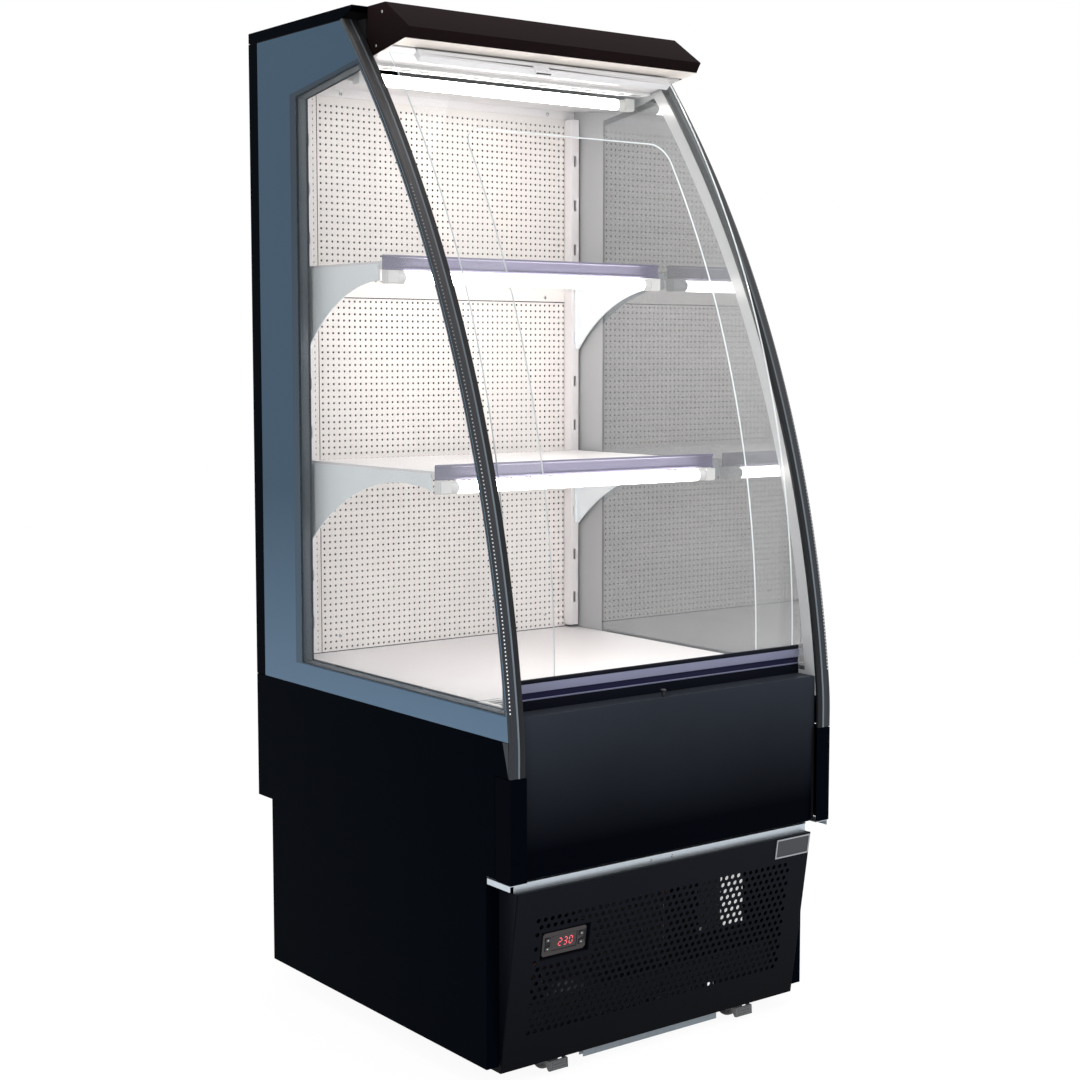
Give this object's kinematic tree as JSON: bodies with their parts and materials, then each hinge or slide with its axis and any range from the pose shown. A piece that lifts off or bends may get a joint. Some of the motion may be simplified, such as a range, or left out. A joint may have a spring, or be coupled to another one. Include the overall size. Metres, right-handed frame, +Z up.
{
  "type": "open display fridge",
  "caption": "Tall open-front multideck display fridge with curved glass sides, shelves, clear front guard, roll-down night blind, perforated machine grille and castors.",
  "frame": {"origin": "floor, under the middle of the cabinet", "axes": "+X to the right seen from the front, +Y to the back, +Z up"},
  "size_m": [0.6, 0.696, 1.511],
  "materials": {
    "black_steel": "satin black powder coat",
    "printed_glass": "toughened glass with a grey-blue printed border",
    "clear_glass": "clear toughened glass",
    "clear_acrylic": "clear acrylic sheet, polished edges",
    "spacer_black": "matt black spacer",
    "charcoal_trim": "satin charcoal",
    "foam": "closed-cell foam",
    "white_steel": "white powder coat",
    "rail_plastic": "pale lavender-grey extrusion",
    "lamp_white": "opal lamp tube with white ends",
    "zinc_steel": "galvanised sheet",
    "black_plastic": "fine-textured black",
    "aluminium": "natural satin",
    "blind_film": "woven reflective blind film",
    "compressor_black": "black enamel",
    "white_plastic": "white moulded box",
    "castor_zinc": "bright zinc plate",
    "castor_wheel": "dark hard tyre",
    "pedal_grey": "ribbed grey plastic"
  },
  "bodies": {
    "cabinet": {"air_discharge": "white_steel", "back_insulation": "foam", "base_deck": "white_steel", "base_frame": "zinc_steel", "base_rail": "rail_plastic", "blind_film": "blind_film", "blind_fittings": "zinc_steel", "ceiling_panel": "white_steel", "clear_guard": "clear_acrylic", "compressor": "compressor_black", "condenser": "aluminium", "controller": "black_plastic", "corner_covers": "black_steel", "evaporator": "aluminium", "evaporator_fan_plate": "white_steel", "fan_shroud": "zinc_steel", "front_cross_rail": "zinc_steel", "front_panel": "black_steel", "front_posts": "charcoal_trim", "glass_spacers": "spacer_black", "hood_fascia": "black_steel", "hood_soffit": "white_steel", "inner_glass": "clear_glass", "light_tubes": "lamp_white", "lower_shelf": "white_steel", "machine_grille": "black_steel", "outer_glass_left": "printed_glass", "outer_glass_right": "printed_glass", "price_rails": "rail_plastic", "rear_cover": "black_steel", "rear_panel": "white_steel", "return_grille": "white_steel", "roof_cover": "black_steel", "roof_insulation": "foam", "shelf_brackets": "white_steel", "shelf_uprights": "white_steel", "side_panel_left": "black_steel", "side_panel_right": "black_steel", "terminal_box": "white_plastic", "tub_insulation": "foam", "unit_tray": "zinc_steel", "upper_shelf": "white_steel"},
    "blind_bar": {"blind_bar": "aluminium"},
    "blind_roller": {"blind_roller": "aluminium"},
    "condenser_fan": {"condenser_fan": "black_plastic"},
    "evaporator_fan": {"evaporator_fan": "black_plastic"},
    "button_1": {"button_1": "black_plastic"},
    "button_2": {"button_2": "black_plastic"},
    "button_3": {"button_3": "black_plastic"},
    "button_4": {"button_4": "black_plastic"},
    "castor_fork_front_left": {"castor_fork_front_left": "castor_zinc"},
    "castor_fork_front_right": {"castor_fork_front_right": "castor_zinc"},
    "castor_fork_rear_left": {"castor_fork_rear_left": "castor_zinc"},
    "castor_fork_rear_right": {"castor_fork_rear_right": "castor_zinc"},
    "castor_wheel_front_left": {"castor_wheel_front_left": "castor_wheel"},
    "castor_wheel_front_right": {"castor_wheel_front_right": "castor_wheel"},
    "castor_wheel_rear_left": {"castor_wheel_rear_left": "castor_wheel"},
    "castor_wheel_rear_right": {"castor_wheel_rear_right": "castor_wheel"},
    "brake_pedal_front_left": {"brake_pedal_front_left": "pedal_grey"},
    "brake_pedal_front_right": {"brake_pedal_front_right": "pedal_grey"}
  },
  "joints": [
    {"name": "blind_pull", "type": "hinge", "parent": "cabinet", "child": "blind_bar", "pos_m": [0, 1.147, 0.572], "axis": [1, 0, 0], "range_deg": [0, 37.2], "stiffness_Nm_per_rad": 8, "springref_deg": -31.51, "deforming": ["blind_film"]},
    {"name": "blind_roll", "type": "hinge", "parent": "cabinet", "child": "blind_roller", "pos_m": [0, -0.031, 1.472], "axis": [1, 0, 0], "range_deg": [-3208, 0]},
    {"name": "condenser_fan_spin", "type": "hinge", "parent": "cabinet", "child": "condenser_fan", "pos_m": [-0.062, -0.178, 0.198], "axis": [0, 1, 0], "continuous": true},
    {"name": "evaporator_fan_spin", "type": "hinge", "parent": "cabinet", "child": "evaporator_fan", "pos_m": [0, -0.074, 0.432], "axis": [0, 1, 0], "continuous": true},
    {"name": "swivel_front_left", "type": "hinge", "parent": "cabinet", "child": "castor_fork_front_left", "pos_m": [-0.178, -0.238, 0.068], "axis": [0, 0, 1], "continuous": true},
    {"name": "roll_front_left", "type": "hinge", "parent": "castor_fork_front_left", "child": "castor_wheel_front_left", "pos_m": [-0.178, -0.258, 0.025], "axis": [1, 0, 0], "continuous": true},
    {"name": "swivel_front_right", "type": "hinge", "parent": "cabinet", "child": "castor_fork_front_right", "pos_m": [0.178, -0.238, 0.068], "axis": [0, 0, 1], "continuous": true},
    {"name": "roll_front_right", "type": "hinge", "parent": "castor_fork_front_right", "child": "castor_wheel_front_right", "pos_m": [0.178, -0.258, 0.025], "axis": [1, 0, 0], "continuous": true},
    {"name": "swivel_rear_left", "type": "hinge", "parent": "cabinet", "child": "castor_fork_rear_left", "pos_m": [-0.178, 0.244, 0.068], "axis": [0, 0, 1], "continuous": true},
    {"name": "roll_rear_left", "type": "hinge", "parent": "castor_fork_rear_left", "child": "castor_wheel_rear_left", "pos_m": [-0.178, 0.224, 0.025], "axis": [1, 0, 0], "continuous": true},
    {"name": "swivel_rear_right", "type": "hinge", "parent": "cabinet", "child": "castor_fork_rear_right", "pos_m": [0.178, 0.244, 0.068], "axis": [0, 0, 1], "continuous": true},
    {"name": "roll_rear_right", "type": "hinge", "parent": "castor_fork_rear_right", "child": "castor_wheel_rear_right", "pos_m": [0.178, 0.224, 0.025], "axis": [1, 0, 0], "continuous": true},
    {"name": "brake_front_left", "type": "hinge", "parent": "castor_fork_front_left", "child": "brake_pedal_front_left", "pos_m": [-0.178, -0.275, 0.0475], "axis": [1, 0, 0], "range_deg": [0, 12]},
    {"name": "brake_front_right", "type": "hinge", "parent": "castor_fork_front_right", "child": "brake_pedal_front_right", "pos_m": [0.178, -0.275, 0.0475], "axis": [1, 0, 0], "range_deg": [0, 12]},
    {"name": "press_1", "type": "slide", "parent": "cabinet", "child": "button_1", "axis": [0, 0.9885, 0.1515], "range_m": [0, 0.001], "stiffness_N_per_m": 400, "springref_m": -0.001},
    {"name": "press_2", "type": "slide", "parent": "cabinet", "child": "button_2", "axis": [0, 0.9885, 0.1515], "range_m": [0, 0.001], "stiffness_N_per_m": 400, "springref_m": -0.001},
    {"name": "press_3", "type": "slide", "parent": "cabinet", "child": "button_3", "axis": [0, 0.9885, 0.1515], "range_m": [0, 0.001], "stiffness_N_per_m": 400, "springref_m": -0.001},
    {"name": "press_4", "type": "slide", "parent": "cabinet", "child": "button_4", "axis": [0, 0.9885, 0.1515], "range_m": [0, 0.001], "stiffness_N_per_m": 400, "springref_m": -0.001}
  ],
  "couplings": [
    {"joint": "blind_roll", "follows": "blind_pull", "ratio": -85.17}
  ]
}
